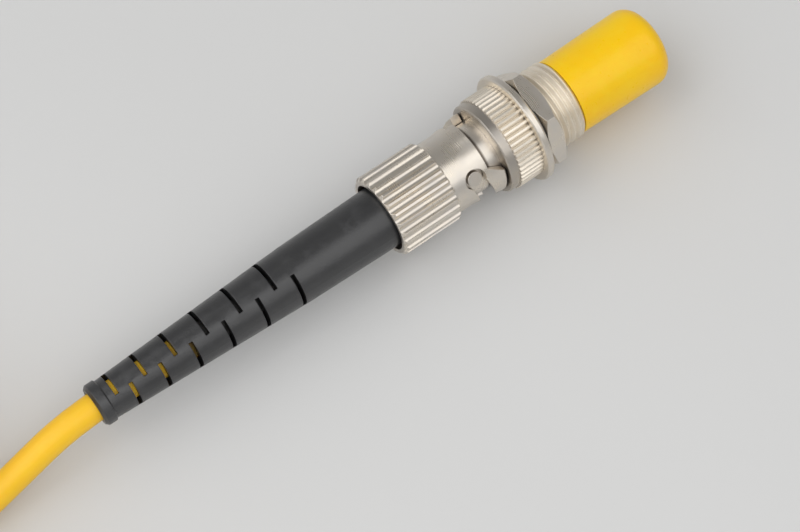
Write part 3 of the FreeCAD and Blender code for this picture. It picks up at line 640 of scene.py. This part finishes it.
class Finish(Graph):
    """A material with one main shader, whose fixed values are set on its own sockets."""

    def __init__(self, name, fixed):
        self.material = bpy.data.materials.new(name)
        self.material.use_nodes = True
        super().__init__(self.material.node_tree)
        self.shader = self.tree.nodes["Principled BSDF"]
        for socket, value in fixed.items():
            self.shader.inputs[socket].default_value = value
        self.place = self.node("ShaderNodeTexCoord", {}, {}, "Object")

    def feed(self, socket, value):
        """Send a signal to the main shader."""
        self.join(value, self.shader.inputs[socket])

    def noise(self, scale, detail=3.0, stretch=(1, 1, 1)):
        """Noise in the frame's metres, drawn out along an axis where stretch is below 1."""
        place = self.node("ShaderNodeVectorMath", {"operation": "MULTIPLY"}, {0: self.place, 1: stretch})
        return self.node("ShaderNodeTexNoise", {}, {"Vector": place, "Scale": scale, "Detail": detail})

    def drift(self, noise, first, second):
        """Colour that drifts from one to another over the middle of a noise."""
        return self.ramp(noise, (DRIFT_LOW, first), (DRIFT_HIGH, second))

    def mix(self, share, first, second):
        """One colour into another, by the sockets that a Mix node keeps for colours."""
        sockets = {MIX_SHARE: share, MIX_FIRST: first, MIX_SECOND: second}
        return self.node("ShaderNodeMix", {"data_type": "RGBA"}, sockets, MIX_RESULT)

    def steps(self, signal, low, high):
        """Signal from 0 at low to 1 at high."""
        return self.node("ShaderNodeMapRange", {}, {"Value": signal, "From Min": low, "From Max": high})

    def within(self, signal, low, high, soft):
        """1 between two values of a signal, with soft ends."""
        return self.steps(signal, low - soft, low + soft) * self.steps(signal, high + soft, high - soft)

    def crevice(self, reach):
        """1 in the open and less where the surface is shut in."""
        settings = {"samples": CREVICE_SAMPLES}
        return self.node("ShaderNodeAmbientOcclusion", settings, {"Distance": reach}, "AO")

    def relief(self, height, distance, edge):
        """Fine relief on edges that are rounded by a small radius."""
        rounded = self.node("ShaderNodeBevel", {"samples": EDGE_SAMPLES}, {"Radius": edge})
        return self.node("ShaderNodeBump", {}, {"Distance": distance, "Height": height, "Normal": rounded})

    def along_and_out(self):
        """Distance along the adapter's axis and distance from it."""
        x, y, z = (self.node("ShaderNodeSeparateXYZ", {}, {0: self.place}, axis) for axis in "XYZ")
        rise = z - axis_height
        return x, (y * y + rise * rise) ** 0.5


def opaque(red, green, blue):
    """Colour with full alpha."""
    return red, green, blue, 1.0


print("finishes can mix, mask and bump")

# %% [markdown]
# ## Nickel plate
# The adapter, the coupling nut and the panel nut are turned brass with a bright nickel plate. A plain metal
# shader looks cast, so fine rings from the tool run round every turned face, smudges change the gloss, the
# colour drifts between warm and cool, and grooves get a painted brown shade. The ridges of knurl and thread
# get a lighter colour, a painted highlight, and are softer than the turned faces. The corner under the
# flange, the plain collar and a band on the barrel in front of the nut's cut-back edge get painted brown
# shade.

# %% Bands along the adapter
FLANGE_THICK = 0.8 * MM
KNURL_LENGTH = 2.85 * MM
KNURL_RADIUS = 5.3 * MM
BARREL_RADIUS = 3.5 * MM
# Painted shade: the band in front of the nut's cut-back edge has this width, and the shares below darken the
# corner under the flange, the collar and that band.
GAP_SHADE_WIDTH = 0.55 * MM
BAND_SOFT = 0.1 * MM
CORNER_SHADE_SHARE = 0.5
COLLAR_SHADE_SHARE = 0.35
GAP_SHADE_SHARE = 0.85
lead_edge = nut_front - LEAD_DEPTH
flange_back = panel_face - FLANGE_THICK
knurl_back = flange_back - KNURL_LENGTH
thread_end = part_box("dust_cap")[0].x


def ridge_bands(finish, along, out):
    """Masks of the knurl and of the thread."""
    knurl = finish.within(along, knurl_back, flange_back, BAND_SOFT)
    thread = (finish.within(along, panel_face, thread_end, BAND_SOFT)
              * finish.steps(out, THREAD_RADIUS + BAND_SOFT, THREAD_RADIUS))
    return knurl, thread


def painted_shade_bands(finish, along, out):
    """How much painted shade darkens the corner under the flange, the collar and a band on the barrel in
    front of the nut's cut-back edge.
    """
    corner = (finish.within(along, flange_back, flange_back, BAND_SOFT)
              * finish.steps(out, KNURL_RADIUS - BAND_SOFT, KNURL_RADIUS + BAND_SOFT))
    collar = (finish.within(along, nut_front, knurl_back, BAND_SOFT)
              * finish.steps(out, BARREL_RADIUS + 2 * BAND_SOFT, THREAD_RADIUS))
    rub_and_gap_shade = (finish.within(along, lead_edge, lead_edge + GAP_SHADE_WIDTH, BAND_SOFT)
           * finish.steps(out, BARREL_RADIUS + 2 * BAND_SOFT, BARREL_RADIUS + BAND_SOFT))
    return CORNER_SHADE_SHARE * corner + COLLAR_SHADE_SHARE * collar + GAP_SHADE_SHARE * rub_and_gap_shade


print(f"knurl from {knurl_back / MM:.1f} to {flange_back / MM:.1f} mm")

# %% Turned and plated metal
RING_SCALE = 6500.0
SMUDGE_SCALE = 420.0
SMUDGE_STARTS = 0.4
SMUDGE_FULL = 0.7
SPECK_SCALE = 5200.0
SPECK_SHARE = 0.3
RELIEF_DEPTH = 0.006 * MM
# Share of the painted highlight colour on the ridges of knurl and thread.
RIDGE_HIGHLIGHT = 0.7
# Painted shade in crevices, found by ambient occlusion: its reach, where it starts and where it is full, and
# its share. The thread gets less of it.
SHADE_REACH = 0.4 * MM
SHADE_STARTS = 0.65
SHADE_FULL = 0.2
CREVICE_SHADE_SHARE = 0.8
THREAD_LESS_SHADE = 0.7
DULL_SMUDGE = 0.1
DULL_RINGS = 0.07
DULL_CREVICE = 0.25
DULL_RIDGES = 0.12


def turned_metal(name, warm, cool, cut, shade, rough, edge):
    """Lathe-turned metal with rings, smudges, painted brown shade in grooves and a painted highlight on the
    ridges of knurl and thread.
    """
    finish = Finish(name, {"Metallic": 1.0})
    along, out = finish.along_and_out()
    rings = finish.node(
        "ShaderNodeTexNoise", {"noise_dimensions": "1D"},
        {"W": (along + out) * RING_SCALE, "Scale": 1.0, "Detail": 2.0},
    )
    smudge = finish.noise(SMUDGE_SCALE, detail=4.0)
    speck = finish.noise(SPECK_SCALE, detail=2.0)
    knurl, thread = ridge_bands(finish, along, out)
    ridges = knurl + thread
    # Painted highlight: knurl and thread get a lighter colour for the light that their ridges catch.
    plate = finish.mix(RIDGE_HIGHLIGHT * ridges, finish.drift(smudge, warm, cool), opaque(*cut))
    # Painted shade: crevices darken towards the shade colour, and so do the painted shade bands.
    shut_in = finish.steps(finish.crevice(SHADE_REACH), SHADE_STARTS, SHADE_FULL)
    crevice_shade = shut_in * (1 - THREAD_LESS_SHADE * thread)
    painted_shade = CREVICE_SHADE_SHARE * crevice_shade + painted_shade_bands(finish, along, out)
    finish.feed("Base Color", finish.mix(painted_shade, plate, opaque(*shade)))
    dull = (DULL_SMUDGE * finish.steps(smudge, SMUDGE_STARTS, SMUDGE_FULL) + DULL_RINGS * rings
            + DULL_CREVICE * crevice_shade + DULL_RIDGES * ridges)
    finish.feed("Roughness", rough + dull)
    finish.feed("Normal", finish.relief(rings + SPECK_SHARE * speck, RELIEF_DEPTH, edge))
    return finish.material


print(f"rings {1 / RING_SCALE / MM:.2f} mm apart")

# %% Three metals
# In each metal, cut is the colour of the painted highlight on knurl and thread, and shade is the colour of
# the painted shade.
nickel = turned_metal(
    "nickel_plate", warm=(0.74, 0.67, 0.57), cool=(0.66, 0.62, 0.57), cut=(0.95, 0.87, 0.74),
    shade=(0.07, 0.05, 0.035), rough=0.24, edge=0.07 * MM)
dark_steel = turned_metal(
    "dark_steel", warm=(0.17, 0.15, 0.13), cool=(0.12, 0.12, 0.12), cut=(0.2, 0.19, 0.18),
    shade=(0.02, 0.02, 0.02), rough=0.32, edge=0.05 * MM)
spring_steel = turned_metal(
    "spring_steel", warm=(0.55, 0.53, 0.50), cool=(0.47, 0.47, 0.48), cut=(0.6, 0.6, 0.6),
    shade=(0.06, 0.05, 0.04), rough=0.22, edge=0.04 * MM)
print("nickel plate, dark steel and spring steel")

# %% [markdown]
# ## Moulded plastics
# Boot, jacket, cap and buffer are moulded or extruded. They share a make-up: a colour that drifts a little,
# a fine skin in the relief, and rubbed places with another gloss. One function with a few numbers gives
# them all, so that each keeps its own character. Deep in the boot the jacket gets a painted dark shade, so
# the slots near the plug look dark and those near the tail show yellow.

# %% Plastic skins
DRIFT_SCALE = 160.0
RUBBED_SCALE = 900.0
RUBBED_STARTS = 0.52
RUBBED_FULL = 0.72
RUBBED_SHARE = 0.35
DULL_RUBBED = 0.14
DULL_SKIN = 0.1
# Painted shade on the jacket deep inside the boot: its colour, and how far into the boot it starts and is
# full.
BOOT_SHADE = (0.012, 0.010, 0.008)
BOOT_SHADE_STARTS = 8.0 * MM
BOOT_SHADE_FULL = 12.0 * MM


def moulded(name, deep, light, rub_and_gap_shade, rough, skin_scale, skin_height, edge,
            fixed=None, stretch=(1, 1, 1), shaded_in_boot=False):
    """Plastic with a drifting colour, a fine skin and rubbed places, with painted shade deep in the boot if
    asked.
    """
    finish = Finish(name, fixed or {})
    patches = finish.noise(DRIFT_SCALE, stretch=stretch)
    skin = finish.noise(skin_scale, stretch=stretch)
    rubbed = finish.steps(finish.noise(RUBBED_SCALE, detail=4.0), RUBBED_STARTS, RUBBED_FULL)
    colour = finish.mix(RUBBED_SHARE * rubbed, finish.drift(patches, deep, light), opaque(*rub_and_gap_shade))
    # Painted shade: the jacket darkens deep inside the boot, so its slots near the plug look dark.
    if shaded_in_boot:
        along, _ = finish.along_and_out()
        boot_shade = finish.steps(along, boot_tail + BOOT_SHADE_STARTS, boot_tail + BOOT_SHADE_FULL)
        colour = finish.mix(boot_shade, colour, opaque(*BOOT_SHADE))
    finish.feed("Base Color", colour)
    finish.feed("Roughness", rough + DULL_RUBBED * rubbed + DULL_SKIN * skin)
    finish.feed("Normal", finish.relief(skin, skin_height, edge))
    return finish.material


print(f"stain starts {BOOT_SHADE_STARTS / MM:.0f} mm inside the boot")

# %% Boot, jacket and cap
boot_rubber = moulded(
    "boot_rubber", deep=(0.013, 0.013, 0.014), light=(0.02, 0.02, 0.021), rub_and_gap_shade=(0.03, 0.03, 0.032),
    rough=0.28, skin_scale=5200.0, skin_height=0.02 * MM, edge=0.12 * MM,
    fixed={"Specular IOR Level": 0.85})
cord_jacket = moulded(
    "cord_jacket", deep=(0.88, 0.50, 0.016), light=(0.95, 0.57, 0.022), rub_and_gap_shade=(0.93, 0.58, 0.05),
    rough=0.34, skin_scale=3800.0, skin_height=0.012 * MM, edge=0.1 * MM,
    fixed={"Subsurface Weight": 0.12, "Subsurface Scale": 0.6 * MM, "Specular IOR Level": 0.35},
    stretch=(0.3, 1, 1), shaded_in_boot=True)
cap_vinyl = moulded(
    "cap_vinyl", deep=(0.94, 0.54, 0.004), light=(0.97, 0.61, 0.006), rub_and_gap_shade=(0.96, 0.63, 0.02),
    rough=0.24, skin_scale=2600.0, skin_height=0.012 * MM, edge=0.15 * MM,
    fixed={"Subsurface Weight": 0.18, "Subsurface Scale": 0.8 * MM, "Specular IOR Level": 0.35})
print("boot rubber, cord jacket and cap vinyl")

# %% Buffer and ceramic
buffer_coat = moulded(
    "buffer_coat", deep=(0.80, 0.80, 0.78), light=(0.86, 0.86, 0.84), rub_and_gap_shade=(0.75, 0.75, 0.72),
    rough=0.3, skin_scale=6000.0, skin_height=0.006 * MM, edge=0.05 * MM)
zirconia = moulded(
    "zirconia", deep=(0.86, 0.85, 0.82), light=(0.90, 0.90, 0.88), rub_and_gap_shade=(0.88, 0.88, 0.86),
    rough=0.12, skin_scale=9000.0, skin_height=0.002 * MM, edge=0.04 * MM)
print("buffer coat and zirconia")

# %% [markdown]
# ## Yarn and strap
# Yarn is a bundle of fine parallel threads, and a strap is a field of tiny loops. Both come from noise that
# is drawn out along one axis or folded into cells, which stays sharp at any distance and needs no picture.

# %% Threads and loops
FIBRE_RELIEF = 0.12 * MM
FIBRE_EDGE = 0.05 * MM
FIBRE_ROUGH = 0.75
DULL_THREADS = 0.2
LOOP_SHARE = 0.6


def fibrous(name, deep, light, stretch, scale):
    """Soft stuff whose threads run one way."""
    finish = Finish(name, {"Sheen Weight": 0.4, "Sheen Roughness": 0.5})
    threads = finish.noise(scale, detail=4.0, stretch=stretch)
    loops = finish.node("ShaderNodeTexVoronoi", {}, {"Vector": finish.place, "Scale": scale})
    finish.feed("Base Color", finish.drift(threads, deep, light))
    finish.feed("Roughness", FIBRE_ROUGH + DULL_THREADS * threads)
    finish.feed("Normal", finish.relief(threads + LOOP_SHARE * loops, FIBRE_RELIEF, FIBRE_EDGE))
    return finish.material


aramid = fibrous(
    "aramid_yarn", deep=(0.62, 0.45, 0.10), light=(0.82, 0.66, 0.22), stretch=(0.08, 1, 1), scale=9000.0)
strap_cloth = fibrous(
    "strap_cloth", deep=(0.012, 0.012, 0.013), light=(0.035, 0.035, 0.038), stretch=(1, 1, 1),
    scale=4200.0)
print("yarn and strap")

# %% [markdown]
# ## A finish for every node
# Each finish could be assigned to its objects by hand, but the record already names a material slot for
# each node, so the finishes are handed out by that name. Inner pieces get theirs too: they show when the
# cap comes off or the nut is turned back.

# %% Hand out the finishes
finish_of_slot = {
    "nickel_plate": nickel,
    "zirconia": zirconia,
    "buffer_coat": buffer_coat,
    "aramid": aramid,
    "spring_steel": spring_steel,
    "boot_rubber": boot_rubber,
    "cord_jacket": cord_jacket,
    "strap": strap_cloth,
    "cap_vinyl": cap_vinyl,
    "dark_steel": dark_steel,
}
slot_of_node = {part["node"]: part["material_slot"] for part in frame["record"]["subparts"]}
for name, node in nodes.items():
    node.data.materials.clear()
    node.data.materials.append(finish_of_slot[slot_of_node[name]])
pieces = (cord, cut_fibre, cut_yarn, straps, threaded_body, stepped_nut)
for piece in pieces:
    piece.data.materials.clear()
    piece.data.materials.append(finish_of_slot[piece["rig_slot"]])
print(f"{len(nodes)} nodes and {len(pieces)} pieces have a finish")

# %% [markdown]
# ## Floor and light
# A plain pale floor keeps the soft shadow. Metal is only as good as what it reflects, so the sky goes from
# pale at the horizon to darker overhead, and three large soft lamps draw the long highlights on the turned
# parts. Small lamps would give hard streaks and black gaps between them.

# %% Floor
FLOOR_SIZE = 6.0
FLOOR_DRIFT = 9.0
FLOOR_DEEP = (0.62, 0.62, 0.615)
FLOOR_LIGHT = (0.65, 0.65, 0.645)
floor_data = bpy.data.meshes.new("floor")
floor_shape = bmesh.new()
bmesh.ops.create_grid(floor_shape, x_segments=1, y_segments=1, size=FLOOR_SIZE / 2)
floor_shape.to_mesh(floor_data)
floor_shape.free()
floor = add_object("floor", floor_data)
floor_finish = Finish("pale_floor", {"Roughness": 0.6})
floor_noise = floor_finish.noise(FLOOR_DRIFT, detail=2.0)
floor_finish.feed("Base Color", floor_finish.drift(floor_noise, FLOOR_DEEP, FLOOR_LIGHT))
floor_data.materials.append(floor_finish.material)
print(f"floor {FLOOR_SIZE} m wide")

# %% Sky
HORIZON = (0.55, 0.55, 0.55)
OVERHEAD = (0.3, 0.3, 0.3)
OVERHEAD_STARTS = 0.75
world = bpy.data.worlds.new("studio")
world.use_nodes = True
bpy.context.scene.world = world
sky = Graph(world.node_tree)
direction = sky.node("ShaderNodeTexCoord", {}, {}, "Generated")
upward = sky.node("ShaderNodeSeparateXYZ", {}, {0: direction}, "Z")
shades = sky.ramp(upward, (0.0, HORIZON), (OVERHEAD_STARTS, OVERHEAD))
sky.join(shades, sky.tree.nodes["Background"].inputs["Color"])
print("sky from pale to darker overhead")

# %% Lamps


def soft_lamp(name, azimuth, elevation, distance, size, power):
    """Square lamp that looks at the adapter."""
    away = direction_at(azimuth, elevation)
    data = bpy.data.lights.new(name, "AREA")
    data.shape = "SQUARE"
    data.size = size
    data.energy = power
    lamp = add_object(name, data)
    lamp.location = away * distance
    lamp.rotation_euler = away.to_track_quat("Z", "Y").to_euler()


soft_lamp("key", azimuth=29.0, elevation=54.0, distance=0.7, size=0.7, power=1.6)
soft_lamp("side", azimuth=-68.0, elevation=50.0, distance=0.7, size=0.7, power=2.3)
soft_lamp("fill", azimuth=-130.0, elevation=50.0, distance=0.7, size=0.6, power=1.5)
bpy.context.scene.view_settings.view_transform = "Standard"
print("three soft lamps")
